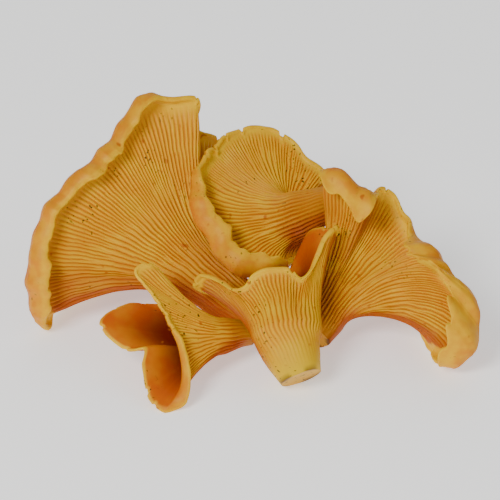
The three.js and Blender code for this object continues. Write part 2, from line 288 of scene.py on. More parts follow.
class MarginCurve:
    """The cap's margin as a closed curve read by its length, with the roll at each place."""

    def __init__(self, margin: list[tuple[float, ...]], edge: tuple[float, float]) -> None:
        """Measures the curve.

        Args:
            margin: Points of right, up, near, roll radius, roll turn in degrees, flap and hang. The last
                ones may be left out.
            edge: The roll radius and turn where none are given.
        """
        columns = np.array([(*p, *(*edge, 0.0, 0.0)[len(p) - 3 :]) for p in margin])
        self.points = on_table(columns[:, :3])
        flaps = np.where(columns[:, 5] > 0, columns[:, 5], SHORTEST_FLAP)
        self.rolls = np.stack([columns[:, 3], np.radians(columns[:, 4]), flaps, columns[:, 6]], -1)
        self.table = np.linspace(0, 1, LENGTH_SAMPLES + 1)
        steps = np.linalg.norm(np.diff(self.at(self.table), axis=0), axis=-1)
        self.length = float(steps.sum())
        self.lengths = np.concatenate([[0], np.cumsum(steps)]) / self.length

    def at(self, t: np.ndarray) -> np.ndarray:
        """Points of the curve by its own parameter."""
        count = len(self.points)
        position = (t % 1.0) * count
        start = np.floor(position).astype(int)
        return spline([self.points[(start + k) % count] for k in (-1, 0, 1, 2)], position - start)

    def read(self, around: np.ndarray) -> tuple[np.ndarray, ...]:
        """Reads the margin at shares of its length.

        Args:
            around: Shares of the whole length, any number of turns.

        Returns:
            Points, roll radii, roll turns, flaps and hangs.
        """
        t = np.interp(around % 1.0, self.lengths, self.table)
        position = (t % 1.0) * len(self.points)
        start = np.floor(position).astype(int) % len(self.points)
        eased = smooth(position % 1.0, 0.0, 1.0)[..., None]
        rolls = self.rolls[start] * (1 - eased) + self.rolls[(start + 1) % len(self.points)] * eased
        return self.at(t), rolls[..., 0], rolls[..., 1], rolls[..., 2], rolls[..., 3]


@dataclass
class Station:
    """A place on the stem's centreline."""

    middle: np.ndarray
    direction: np.ndarray
    side: np.ndarray
    across: np.ndarray
    radius: float

    def ring(self, angle: np.ndarray) -> np.ndarray:
        """Points round the stem at these angles."""
        cosine, sine = np.cos(angle)[..., None], np.sin(angle)[..., None]
        return self.middle + self.radius * (cosine * self.side + sine * self.across)


class Stem:
    """The stem's centreline, from the cut end to the neck."""

    def __init__(self, points: list[tuple[float, float, float, float]]) -> None:
        """Takes points of right, up, near and radius."""
        self.radii = [p[3] for p in points]
        inner = on_table(np.array(points)[:, :3])
        self.points = np.vstack([2 * inner[0] - inner[1], inner, 2 * inner[-1] - inner[-2]])

    def at(self, t: float) -> np.ndarray:
        """A point of the centreline, with t from 0 at the cut end to 1 at the neck."""
        position = min(max(t, 0.0), 1.0) * (len(self.radii) - 1)
        start = min(int(position), len(self.radii) - 2)
        return spline(self.points[start : start + 4], np.array(position - start))

    def station(self, t: float) -> Station:
        """The stem's middle, direction, sides and radius at t.

        Args:
            t: From 0 at the cut end to 1 at the neck.

        Returns:
            The station, with a side direction that doesn't twist.
        """
        direction = unit(self.at(t + 1e-4) - self.at(t - 1e-4))
        side = unit(np.array([0, 0, 1.0]) - direction[2] * direction)
        position = t * (len(self.radii) - 1)
        radius = float(np.interp(position, range(len(self.radii)), self.radii))
        return Station(self.at(t), direction, side, np.cross(direction, side), radius)


@dataclass
class Meridians:
    """Bezier curves from the neck to the margin, with the roll that each ends in."""

    controls: list[np.ndarray]
    straightness: np.ndarray
    roll: np.ndarray
    turn: np.ndarray
    flap: np.ndarray

    def point(self, along: Amount) -> np.ndarray:
        """Points at a share of each curve."""
        a = np.asarray(along, float)[..., None]
        p, q, r, s = self.controls
        return p * (1 - a) ** 3 + 3 * q * a * (1 - a) ** 2 + 3 * r * a**2 * (1 - a) + s * a**3

    def tangent(self, along: Amount) -> np.ndarray:
        """Unit directions from neck to margin at a share of each curve."""
        a = np.asarray(along, float)[..., None]
        p, q, r, s = self.controls
        return unit((q - p) * (1 - a) ** 2 + 2 * (r - q) * a * (1 - a) + (s - r) * a**2)


class Wall:
    """The smooth outside wall of a cap, from the neck to the margin."""

    def __init__(self, sizes: "Chanterelle") -> None:
        """Finds how the margin lies round the neck.

        Args:
            sizes: The mushroom.
        """
        self.sizes = sizes
        self.margin = MarginCurve(sizes.margin, sizes.edge)
        self.neck = Stem(sizes.stem).station(1.0)
        around = np.arange(PHASE_SAMPLES) / PHASE_SAMPLES
        arm = self.margin.read(around)[0] - self.neck.middle
        angle = np.arctan2(arm @ self.neck.across, arm @ self.neck.side)
        sums = {sense: np.exp(1j * (angle - sense * around * 2 * math.pi)).sum() for sense in (1, -1)}
        self.sense = max(sums, key=lambda sense: abs(sums[sense]))
        self.start = float(np.angle(sums[self.sense]))

    def ring_angle(self, around: np.ndarray) -> np.ndarray:
        """The angle round the stem that a place round the margin comes from."""
        return self.start + self.sense * around * 2 * math.pi

    def meridians(self, around: np.ndarray) -> Meridians:
        """The curves from the neck to the margin at these places.

        Args:
            around: Shares of the margin's length.

        Returns:
            One curve for each place.
        """
        sizes, neck = self.sizes, self.neck
        point, roll, turn, flap, hang = self.margin.read(around)
        start = neck.ring(self.ring_angle(around))
        length = np.linalg.norm(point - neck.middle, axis=-1, keepdims=True)
        arrival = unit(point - neck.middle - neck.direction * length * sizes.flare)
        arrival[..., 2] -= hang
        arrival = unit(arrival)
        reach = (roll + sizes.flesh[1]) * np.sin(np.minimum(turn, math.pi / 2))
        end = point - arrival * reach[..., None]
        span = np.linalg.norm(end - start, axis=-1, keepdims=True)
        # A wall that turns back over the stem leaves the neck sooner, and away from the stem.
        straightness = (1 + arrival @ neck.direction) / 2
        away = unit(start - neck.middle) * np.maximum(0, MOST_TURNED_BACK - straightness)[..., None]
        departure = neck.direction * straightness[..., None] + away
        departure[..., 2] += hang * RISE_BEFORE_HANG
        leave = start + departure * span * sizes.neck_pull
        arrive = end - arrival * span * sizes.margin_pull
        return Meridians([start, leave, arrive, end], straightness, roll, turn, flap)

    def frame(
        self, around: np.ndarray, along: np.ndarray, reach: Amount
    ) -> tuple[np.ndarray, np.ndarray]:
        """The wall's directions, felt over a stretch to either side.

        Args:
            around: Places round the margin.
            along: How far from neck to margin, at each of them.
            reach: How far round to feel, in ridges of the plain solid.

        Returns:
            Unit directions towards the margin and into the funnel.
        """
        step = np.broadcast_to(np.asarray(reach, float) / self.sizes.ridges / FEELERS, around.shape)
        offsets = np.arange(-FEELERS - 1, FEELERS + 2)[:, None]
        beside = self.meridians(around + offsets * step)
        points, tangents = beside.point(along), beside.tangent(along)
        weights = (FEELERS + 1 - np.abs(offsets[1:-1]))[..., None]
        across = (points[2:] - points[:-2]) * weights
        inward = np.cross(across, tangents[1:-1]).sum(0) * -self.sense
        out = tangents[FEELERS + 1]
        inward = inward - (inward * out).sum(-1, keepdims=True) * out
        return out, unit(inward)

    def wide_frame(self, around: np.ndarray, along: np.ndarray) -> tuple[np.ndarray, np.ndarray]:
        """The same directions, felt over several millimetres of wall, to turn gently in a tight fold."""
        half = 0.5 / self.sizes.ridges
        gap = self.meridians(around + half).point(along) - self.meridians(around - half).point(along)
        reach = WIDE_SPAN / np.linalg.norm(gap, axis=-1)
        return self.frame(around, along, np.clip(reach, WIDE_REACH, WIDEST_REACH))


@dataclass(frozen=True)
class Patches:
    """Noise patches of a real size, eased between two of the noise's levels."""

    size_mm: float
    low: float
    high: float
    detail: float = 2.0


@dataclass(frozen=True)
class FleshFinish:
    """Raw chanterelle flesh: a dry, waxy skin, finely fibrous, that light enters a little way."""

    READ: ClassVar[tuple[Layer, ...]] = (
        Layer.FURROW_SHADE,
        Layer.INSIDE,
        Layer.PAINTED_SHADE,
        Layer.MARGIN,
        Layer.BASE,
        Layer.CUT,
        Layer.BROWN,
    )

    name: str
    crest: str = "#e6a600"
    furrow_shade_and_bruise: str = "#bc6400"
    golden: str = "#ecbc00"
    lower_shade: str = "#a83c00"
    inside: str = "#cc5c00"
    funnel_floor_shade: str = "#6c1600"
    margin: str = "#eebc00"
    base: str = "#dcb600"
    cut: str = "#d8a838"
    browned: str = "#582c0a"
    speck: str = "#3a2210"
    mottled: Patches = Patches(9.0, 0.42, 0.68)
    waxy: Patches = Patches(3.5, 0.35, 0.65)
    bruised: Patches = Patches(3.0, 0.7, 0.82, 1.0)
    dirty: Patches = Patches(14.0, 0.52, 0.66)
    gritty: Patches = Patches(0.9, 0.72, 0.77, 0.0)
    goldenness: float = 0.7
    agedness: float = 0.2
    least_waxy: float = 0.6
    fibre_width: float = 0.35
    fibre_detail: float = 4.0
    fibre_height: float = 0.12
    fibre_strength: float = 0.25
    roughness: float = 0.5
    refraction: float = 1.4
    shine: float = 0.25
    scatter: float = 0.12
    scatter_depths: tuple[float, float, float] = (1.8, 0.9, 0.2)

    def material(self) -> bpy.types.Material:
        """Builds the material.

        Returns:
            A node material that reads the skin's own layers and Object coordinates.
        """
        material = bpy.data.materials.new(self.name)
        material.use_nodes = True
        tree = material.node_tree
        tree.nodes.clear()
        place = add_node(tree, "ShaderNodeTexCoord").outputs["Object"]
        layer = {
            each: add_node(tree, "ShaderNodeAttribute", {"attribute_name": each.value}).outputs["Fac"]
            for each in self.READ
        }
        patched = {}
        for patches in (self.mottled, self.waxy, self.bruised, self.dirty, self.gritty):
            scale = {"Vector": place, "Scale": 1 / (patches.size_mm * MM), "Detail": patches.detail}
            noise = add_node(tree, "ShaderNodeTexNoise", inputs=scale)
            eased = add_node(
                tree,
                "ShaderNodeMapRange",
                {"interpolation_type": "SMOOTHSTEP"},
                {"Value": noise.outputs["Fac"], "From Min": patches.low, "From Max": patches.high},
            )
            patched[patches] = eased.outputs["Result"]
        # Grit sticks to the skin in clusters. The margin is pale all round, and paler in waxy patches.
        amounts = {}
        products = (
            ("grit", patched[self.gritty], patched[self.dirty], 0.0),
            ("golden", patched[self.mottled], self.goldenness, 0.0),
            ("waxy", patched[self.waxy], 1 - self.least_waxy, self.least_waxy),
            ("aged", patched[self.mottled], self.agedness, 0.0),
            ("pale", "waxy", layer[Layer.MARGIN], 0.0),
        )
        for name, first, second, more in products:
            inputs = {0: amounts.get(first, first), 1: second, 2: more}
            product = add_node(tree, "ShaderNodeMath", {"operation": "MULTIPLY_ADD"}, inputs)
            amounts[name] = product.outputs[0]
        # Golden crests stand over furrows where shade is painted in a deeper orange, and painted shade makes
        # the outside redder underneath and by the stem. The funnel is lined with orange, with painted shade
        # that darkens it downwards. Over them lie the pale margin, the stem's cream base and cut face,
        # bruises and grains of soil.
        tones = {}
        blends = (
            ("crest", amounts["golden"], linear(self.crest), linear(self.golden)),
            ("skin", layer[Layer.FURROW_SHADE], linear(self.furrow_shade_and_bruise), "crest"),
            ("skin", layer[Layer.PAINTED_SHADE], "skin", linear(self.lower_shade)),
            ("lining", amounts["aged"], linear(self.inside), linear(self.golden)),
            ("lining", layer[Layer.PAINTED_SHADE], "lining", linear(self.funnel_floor_shade)),
            ("skin", layer[Layer.INSIDE], "skin", "lining"),
            ("skin", amounts["pale"], "skin", linear(self.margin)),
            ("skin", layer[Layer.BASE], "skin", linear(self.base)),
            ("skin", layer[Layer.CUT], "skin", linear(self.cut)),
            ("skin", layer[Layer.BROWN], "skin", linear(self.browned)),
            # Bruises take the same deeper orange that is painted into the furrows as shade.
            ("skin", patched[self.bruised], "skin", linear(self.furrow_shade_and_bruise)),
            ("skin", amounts["grit"], "skin", linear(self.speck)),
        )
        for name, amount, under, over in blends:
            inputs = {0: amount, 6: tones.get(under, under), 7: tones.get(over, over)}
            tones[name] = add_node(tree, "ShaderNodeMix", {"data_type": "RGBA"}, inputs).outputs[2]
        scale = {"Vector": place, "Scale": 1 / (self.fibre_width * MM), "Detail": self.fibre_detail}
        fibres = add_node(tree, "ShaderNodeTexNoise", inputs=scale)
        relief = add_node(
            tree,
            "ShaderNodeBump",
            inputs={
                "Height": fibres.outputs["Fac"],
                "Strength": self.fibre_strength,
                "Distance": self.fibre_height * MM,
            },
        )
        shader = add_node(
            tree,
            "ShaderNodeBsdfPrincipled",
            {"subsurface_method": "RANDOM_WALK"},
            {
                "Base Color": tones["skin"],
                "Roughness": self.roughness,
                "IOR": self.refraction,
                "Specular IOR Level": self.shine,
                "Subsurface Weight": self.scatter,
                "Subsurface Radius": tuple(depth * MM for depth in self.scatter_depths),
                "Subsurface Scale": 1.0,
                "Normal": relief.outputs["Normal"],
            },
        )
        add_node(tree, "ShaderNodeOutputMaterial", inputs={"Surface": shader.outputs["BSDF"]})
        return material


class ForkingRidges:
    """The Geometry Nodes tree that raises the ridges, each of which forks as the wall widens."""

    INPUTS = {
        "Height": ("NodeSocketFloat", 0.9 * MM),
        "Waviness": ("NodeSocketFloat", 1.3),
        "Fork Scatter": ("NodeSocketFloat", 1.1),
        "Grain": ("NodeSocketFloat", 6.0 * MM),
        "Lump Height": ("NodeSocketFloat", 0.5 * MM),
        "Lump Size": ("NodeSocketFloat", 7.0 * MM),
        "Seed": ("NodeSocketFloat", 1.0),
        "Flesh": ("NodeSocketMaterial", None),
    }

    FORK_FROM, FORK_SPEED = 0.35, 2.5
    ROUNDNESS = 0.65
    FURROW_SHADE_RELIEF, FURROW_SHADE_LEVEL = 1.4, 0.78
    CHANCE_SCALE = 1.9

    # How the numbers combine: the result's name, the Math node's operation and what goes in.
    STEPS = (
        # Each ridge forks early or late, by its own chance.
        ("late", "SUBTRACT", "chance", 0.5),
        ("late", "MULTIPLY", "late", "Fork Scatter"),
        ("forks", "ADD", Layer.LEVEL, "late"),
        ("forks", "MAXIMUM", "forks", 0.0),
        ("forked", "FLOOR", "forks"),
        ("ridges", "POWER", 2.0, "forked"),
        # The ridges sway, less so where they have forked and run closer together.
        ("crowding", "POWER", 2.0, "forks"),
        ("sway", "SUBTRACT", "wander", 0.5),
        ("sway", "MULTIPLY", "sway", "Waviness"),
        ("sway", "DIVIDE", "sway", "crowding"),
        ("turn", "ADD", Layer.PHASE, "sway"),
        ("turn", "MULTIPLY", "turn", "ridges"),
        ("turn", "MULTIPLY", "turn", 2 * math.pi),
        # The wave of the single ridge gives way to a wave of two.
        ("single", "COSINE", "turn"),
        ("double", "MULTIPLY", "turn", 2.0),
        ("double", "COSINE", "double"),
        ("progress", "FRACT", "forks"),
        ("progress", "SUBTRACT", "progress", FORK_FROM),
        ("progress", "MULTIPLY", "progress", FORK_SPEED),
        ("progress", "MAXIMUM", "progress", 0.0),
        ("progress", "MINIMUM", "progress", 1.0),
        ("split", "SUBTRACT", "double", "single"),
        ("wave", "MULTIPLY_ADD", "split", "progress", "single"),
        ("crest", "MULTIPLY_ADD", "wave", -0.5, 0.5),
        # Crests are rounded and furrows narrow. They are lower where the wall leaves them less room.
        ("crest", "POWER", "crest", ROUNDNESS),
        ("relief", "SUBTRACT", "crest", 0.5),
        ("relief", "MULTIPLY", "relief", Layer.ROOM),
        ("rise", "MULTIPLY", "relief", "Height"),
        ("lumps", "SUBTRACT", "swelling", 0.5),
        ("rise", "MULTIPLY_ADD", "lumps", "Lump Height", "rise"),
        # The relief also gives the share that paints shade into the furrows.
        ("furrow_shade_share", "MULTIPLY_ADD", "relief", FURROW_SHADE_RELIEF, FURROW_SHADE_LEVEL),
    )

    def __init__(self) -> None:
        """Builds the tree once, for every mushroom."""
        tree = bpy.data.node_groups.new("forking_ridges", "GeometryNodeTree")
        tree.interface.new_socket(name="Geometry", in_out="INPUT", socket_type="NodeSocketGeometry")
        for name, (kind, default) in self.INPUTS.items():
            socket = tree.interface.new_socket(name=name, in_out="INPUT", socket_type=kind)
            if default is not None:
                socket.default_value = default
        tree.interface.new_socket(name="Geometry", in_out="OUTPUT", socket_type="NodeSocketGeometry")
        self.tree = tree
        self.given = add_node(tree, "NodeGroupInput").outputs
        self._raise(self._combined())

    def _combined(self) -> dict[str | Layer, bpy.types.NodeSocket]:
        """Adds the noises and works through the steps.

        Returns:
            Every number by its name, such as how far the skin rises.
        """
        tree, given = self.tree, self.given
        numbers = {name: given[name] for name in self.INPUTS}
        for layer in (Layer.OUTWARD, Layer.PHASE, Layer.LEVEL, Layer.ROOM):
            kind = "FLOAT_VECTOR" if layer is Layer.OUTWARD else "FLOAT"
            named = {"Name": layer.value}
            reader = add_node(tree, "GeometryNodeInputNamedAttribute", {"data_type": kind}, named)
            numbers[layer] = reader.outputs["Attribute"]
        place = add_node(tree, "GeometryNodeInputPosition").outputs[0]
        ridge = add_node(tree, "ShaderNodeCombineXYZ", inputs={"X": numbers[Layer.PHASE]}).outputs[0]
        noises = (
            ("wander", place, "Grain", 2.0),
            ("swelling", place, "Lump Size", 1.0),
            ("chance", ridge, None, 1.0),
        )
        for name, where, size, detail in noises:
            scale = self.CHANCE_SCALE
            if size:
                over = {0: 1.0, 1: given[size]}
                scale = add_node(tree, "ShaderNodeMath", {"operation": "DIVIDE"}, over).outputs[0]
            inputs = {"Vector": where, "W": given["Seed"], "Scale": scale, "Detail": detail}
            noise = add_node(tree, "ShaderNodeTexNoise", {"noise_dimensions": "4D"}, inputs)
            numbers[name] = noise.outputs["Fac"]
        for name, operation, *values in self.STEPS:
            inputs = {i: v if isinstance(v, float) else numbers[v] for i, v in enumerate(values)}
            numbers[name] = add_node(tree, "ShaderNodeMath", {"operation": operation}, inputs).outputs[0]
        return numbers

    def _raise(self, numbers: dict[str | Layer, bpy.types.NodeSocket]) -> None:
        """Moves the skin, and keeps how high each point lies, which the flesh reads to paint shade into the
        furrows.

        Args:
            numbers: What the steps gave.
        """
        tree, given = self.tree, self.given
        step = {0: numbers[Layer.OUTWARD], "Scale": numbers["rise"]}
        offset = add_node(tree, "ShaderNodeVectorMath", {"operation": "SCALE"}, step)
        shift = {"Geometry": given["Geometry"], "Offset": offset.outputs[0]}
        moved = add_node(tree, "GeometryNodeSetPosition", inputs=shift)
        stored = add_node(
            tree,
            "GeometryNodeStoreNamedAttribute",
            {"data_type": "FLOAT", "domain": "POINT"},
            {"Geometry": moved.outputs[0], "Name": Layer.FURROW_SHADE.value, "Value": numbers["furrow_shade_share"]},
        )
        real = add_node(tree, "GeometryNodeRealizeInstances", inputs={"Geometry": stored.outputs[0]})
        dressed = add_node(
            tree, "GeometryNodeSetMaterial", inputs={"Geometry": real.outputs[0], "Material": given["Flesh"]}
        )
        add_node(tree, "NodeGroupOutput", inputs={"Geometry": dressed.outputs[0]})

    def raise_on(self, piece: bpy.types.Object, values: dict[str, Any]) -> bpy.types.Object:
        """Raises the ridges on a skin and makes the result its plain mesh.

        Args:
            piece: The smooth skin.
            values: A value for each of the tree's inputs by name.

        Returns:
            The same object, with its new mesh.
        """
        modifier = piece.modifiers.new("ridges", "NODES")
        modifier.node_group = self.tree
        for item in self.tree.interface.items_tree:
            if item.in_out == "INPUT" and item.name in values:
                modifier[item.identifier] = values[item.name]
        return settle(piece)


def settle(piece: bpy.types.Object) -> bpy.types.Object:
    """Turns what a piece's modifiers make into its plain mesh.

    Args:
        piece: An object with modifiers.

    Returns:
        The same object, without them.
    """
    bpy.context.view_layer.update()
    graph = bpy.context.evaluated_depsgraph_get()
    made = piece.evaluated_get(graph)
    mesh = bpy.data.meshes.new_from_object(made, preserve_all_data_layers=True, depsgraph=graph)
    old = piece.data
    piece.modifiers.clear()
    piece.data = mesh
    bpy.data.meshes.remove(old)
    mesh.name = piece.name
    return piece


@dataclass
class SkinRow:
    """One ring of points on a mushroom's skin, with what it carries."""

    points: np.ndarray
    outward: np.ndarray
    room: Amount = 0.0
    inside: Amount = 0.0
    deep: Amount = 0.0
    margin: Amount = 0.0
    base: Amount = 0.0
    cut: Amount = 0.0
    brown: Amount = 0.0


@dataclass
class Loft:
    """What a skin's rows are lofted over: places round the wall, and how much of it is there at each."""

    wall: Wall
    around: np.ndarray
    meridians: Meridians
    full: np.ndarray
    settled: np.ndarray


@dataclass
class Chanterelle:
    """One mushroom, drawn in millimetres as the eye sees it."""

    name: str
    ridges: int
    stem: list[tuple[float, float, float, float]]
    margin: list[tuple[float, ...]]
    flesh: tuple[float, float]
    flare: float
    neck_pull: float
    margin_pull: float
    columns: int
    first_ridges: int
    seed: int
    ridge_height: float = 0.7
    pitch: float = 1.25
    ragged: float = 1.0
    fresh_cut: float = 0.9
    lumpiness: float = 0.09
    pale_base: float = 0.0
    edge: tuple[float, float] = (1.0, 30)
    finish: FleshFinish = FleshFinish("raw_chanterelle_flesh")

    def _stem_rows(self, loft: Loft) -> list[SkinRow]:
        """The cut face and the stem.

        Args:
            loft: What the rows are lofted over.

        Returns:
            Rows from the middle of the cut face to just below the neck.
        """
        stem = Stem(self.stem)
        angle = loft.wall.ring_angle(loft.around)
        knobbly = RingNoise(self.seed + KNOB_DRAW, *KNOBS)(loft.around)
        rows = []
        first = stem.station(0.0)
        for share in CUT_ROWS:
            # The knife left the face slightly dished, and its edge has browned.
            spread = share * (1 + KNOBBLY * knobbly[:, None])
            points = first.middle + (first.ring(angle) - first.middle) * spread
            points = points + first.direction * (1 - share**2) * DISH
            outward = np.broadcast_to(-first.direction, points.shape)
            brown = smooth(share + KNOBS_BROWN * knobbly, *BROWN_EDGE) * BROWNEST
            rows.append(SkinRow(points, outward, cut=self.fresh_cut, brown=brown))
        for row in range(STEM_ROWS):
            t = row / STEM_ROWS
            station = stem.station(t)
            arms = station.ring(angle) - station.middle
            points = station.middle + arms * (1 + KNOBBLY * knobbly[:, None] * (1 - t))
            outward = unit(arms)
            pale = self.pale_base * smooth(1 - t, *PALE_BASE)
            brown = smooth(knobbly, *BROWN_PATCHES) * max(0.0, PATCHES_BROWNEST - PATCHES_FADE * t)
            # Painted shade deepens the stem's orange, more where it faces down.
            room, lower_shade = t * t * loft.settled, self._lower_shade(outward, 0.0)
            rows.append(SkinRow(points, outward, room, deep=lower_shade, base=pale, brown=brown))
        return rows

    def _lower_shade(self, outward: np.ndarray, share: float) -> np.ndarray:
        """How much shade is painted on the outside skin, deepening its orange.

        Args:
            outward: The way that the skin faces, at each place.
            share: How far up the wall the places lie.

        Returns:
            A share for each place, larger underneath and by the stem.
        """
        underneath = UNDERNEATH_AMOUNT * smooth(-outward[:, 2], *SHADE_UNDERNEATH)
        low_down = LOW_DOWN_AMOUNT * smooth(1 - share, *SHADE_LOW_DOWN) * (1 - self.pale_base)
        return np.minimum(underneath + low_down, DARKEST_LOWER_SHADE)

    def _wall_rows(self, loft: Loft) -> list[SkinRow]:
        """The ridged outside of the cap.

        Args:
            loft: What the rows are lofted over.

        Returns:
            Rows from the neck to the margin.
        """
        rows = []
        for row in range(WALL_ROWS + 1):
            share = row / WALL_ROWS
            along = share * loft.full
            _, inward = loft.wall.frame(loft.around, along, NEAR_REACH)
            fade = smooth(RIDGES_FADE_AT - share, 0.0, RIDGES_FADE_OVER)
            start = loft.settled + (1 - loft.settled) * min(1.0, share / CREASE_ENDS_AT)
            rim = smooth(share, PALE_RIM_FROM, 1.0)
            # Painted shade deepens the wall's orange underneath and low down, and fades out at the pale rim.
            room, lower_shade = fade * start, self._lower_shade(-inward, share) * (1 - rim)
            rows.append(SkinRow(loft.meridians.point(along), -inward, room, deep=lower_shade, margin=rim))
        return rows

    def _roll_rows(self, loft: Loft) -> list[SkinRow]:
        """The rolled margin: round on the outside skin, over the edge, and back on the inside skin.

        Args:
            loft: What the rows are lofted over.

        Returns:
            Rows from the outside skin to the inside skin.
        """
        meridians = loft.meridians
        out, inward = loft.wall.wide_frame(loft.around, loft.full)
        radius = meridians.roll * (1 + self.lumpiness * self._noise(loft.wall, loft.around, Draw.LUMPS))
        flap = meridians.flap * (1 + FRAYED * self._noise(loft.wall, loft.around, Draw.FRAYS))
        end = meridians.point(loft.full)
        thick = self.flesh[1]

        def place(turn_share: float, depth: Amount, flap_share: float) -> np.ndarray:
            """Points on the roll, by the share it has turned, their depth and the share of the flap."""
            turn = meridians.turn * turn_share
            reach = radius + depth
            run = flap * flap_share
            inner = reach * np.cos(turn) - radius - run * np.sin(turn)
            outer = reach * np.sin(turn) + run * np.cos(turn)
            return end + inward * inner[:, None] + out * outer[:, None]

        def facing(turn_share: float) -> np.ndarray:
            """Directions away from the roll's middle."""
            turn = (meridians.turn * turn_share)[:, None]
            return -(inward * np.cos(turn) + out * np.sin(turn))

        rows = [
            SkinRow(place(row / ROLL_ROWS, 0.0, 0.0), facing(row / ROLL_ROWS), margin=1.0)
            for row in range(1, ROLL_ROWS + 1)
        ]
        for row in range(1, FLAP_ROWS + 1):
            rows.append(SkinRow(place(1.0, 0.0, row / FLAP_ROWS), facing(1.0), margin=1.0))
        turn = meridians.turn[:, None]
        past = -inward * np.sin(turn) + out * np.cos(turn)
        for row in range(1, EDGE_ROWS + 1):
            angle = math.pi * row / (EDGE_ROWS + 1)
            depth = thick / 2 * (1 - math.cos(angle))
            bulge = past * math.sin(angle) * thick * BLUNT_EDGE
            rows.append(SkinRow(place(1.0, depth, 1.0) + bulge, past, margin=1.0, inside=0.2))
        for row in range(FLAP_ROWS, 0, -1):
            under = place(1.0, thick, row / FLAP_ROWS)
            rows.append(SkinRow(under, facing(1.0), inside=0.6, margin=0.7))
        for row in range(INSIDE_ROLL_ROWS, -1, -1):
            share = row / INSIDE_ROLL_ROWS
            under = place(share, thick, 0.0)
            rows.append(SkinRow(under, facing(share), inside=1.0, margin=0.6 * share))
        return rows

    def _inside_rows(self, loft: Loft) -> list[SkinRow]:
        """The inside of the funnel, down to where its floor closes.

        Args:
            loft: What the rows are lofted over.

        Returns:
            Rows from below the margin to the floor.
        """
        rows = []
        for row in range(INSIDE_ROWS - 1, -1, -1):
            share = FUNNEL_FLOOR_AT + (1 - FUNNEL_FLOOR_AT) * row / INSIDE_ROWS
            along = share * loft.full
            _, inward = loft.wall.wide_frame(loft.around, along)
            thin = min(1.0, share / FLESH_THINS_BY)
            thickness = self.flesh[0] * (1 - thin) + self.flesh[1] * thin
            # Shade is painted darker the deeper the place lies in the funnel.
            deep = smooth(1 - share, 0.0, DEEPEST_BELOW)
            points = loft.meridians.point(along) + inward * thickness
            rows.append(SkinRow(points, inward, inside=1.0, deep=deep))
        return rows

    def _noise(self, wall: Wall, around: np.ndarray, draw: Draw) -> np.ndarray:
        """One of the margin's noises at these places."""
        added, longest, shortest = draw.value
        length = round(wall.margin.length)
        return RingNoise(self.seed + added, length // longest, length // shortest)(around)

    def _rows(self, around: np.ndarray) -> list[SkinRow]:
        """Lofts the whole skin.

        Args:
            around: Places round each row.

        Returns:
            Its rows from the cut face to the funnel's floor.
        """
        wall = Wall(self)
        meridians = wall.meridians(around)
        length = np.linalg.norm(meridians.point(1.0) - wall.neck.middle, axis=-1)
        wander = WANDER * (1 + self._noise(wall, around, Draw.WANDER))
        torn = TEAR * smooth(self._noise(wall, around, Draw.TEARS), *TORN_BETWEEN)
        torn = torn * (1 - smooth(meridians.turn, *ROLLED_BETWEEN))
        full = 1 - np.clip(self.ragged * (wander + torn) / length, 0, MOST_MISSING)
        settled = smooth(meridians.straightness, CREASED_BELOW, OPEN_ABOVE)
        loft = Loft(wall, around, meridians, full, settled)
        parts = (self._stem_rows, self._wall_rows, self._roll_rows, self._inside_rows)
        return [row for part in parts for row in part(loft)]

    def _levels(self, rows: list[SkinRow]) -> np.ndarray:
        """How many times the ridges have forked on each row, from how wide the skin has become.

        Args:
            rows: The skin's rows.

        Returns:
            A level for each point, row by row.
        """
        widths = []
        kernel = np.hanning(2 * (self.columns // WIDTHS_EASED) + 3)[1:-1]
        pad = len(kernel) // 2
        for row in rows:
            steps = np.roll(row.points, -1, 0) - np.roll(row.points, 1, 0)
            gaps = np.linalg.norm(steps, axis=-1) / 2 * self.columns
            wrapped = np.concatenate([gaps[-pad:], gaps, gaps[:pad]])
            widths.append(np.convolve(wrapped, kernel / kernel.sum(), "valid"))
        level = np.log2(np.maximum(np.array(widths) / (self.first_ridges * self.pitch), 1.0))
        return np.maximum.accumulate(level, axis=0)

    def build(self) -> bpy.types.Object:
        """Makes the smooth skin, with the layers that the ridges and the flesh read.

        Returns:
            The closed skin, in metres.
        """
        count = self.columns
        around = np.arange(count) / count
        rows = self._rows(around)
        points = np.concatenate([row.points for row in rows])
        centres = np.array([rows[0].points.mean(0), rows[-1].points.mean(0)])
        coords = np.vstack([points, centres])
        coords[:, 2] = np.maximum(coords[:, 2], 0.0)
        ring = np.arange(count)
        after = (ring + 1) % count
        starts = np.arange(len(rows) - 1)[:, None] * count
        corners = (starts + ring, starts + after, starts + count + after, starts + count + ring)
        quads = np.stack(corners, -1).reshape(-1, 4)
        last = (len(rows) - 1) * count
        first_fan = np.stack([np.full(count, len(points)), after, ring], -1)
        last_fan = np.stack([np.full(count, len(points) + 1), last + ring, last + after], -1)
        faces = quads.tolist() + first_fan.tolist() + last_fan.tolist()
        a, b, c, d = (coords[quads[:, k]] for k in range(4))
        volume = (a * (np.cross(b, c) + np.cross(c, d))).sum()
        if volume < 0:
            faces = [face[::-1] for face in faces]
        mesh = bpy.data.meshes.new(self.name + "_skin")
        mesh.from_pydata((coords * MM).tolist(), [], faces)
        mesh.polygons.foreach_set("use_smooth", [True] * len(mesh.polygons))

        phase = np.tile(around * self.first_ridges, len(rows))
        values = {Layer.PHASE: phase, Layer.LEVEL: self._levels(rows).ravel()}
        for layer in (Layer.ROOM, *FleshFinish.READ[1:]):
            carried = [np.broadcast_to(getattr(row, layer.value), count) for row in rows]
            values[layer] = np.concatenate(carried)
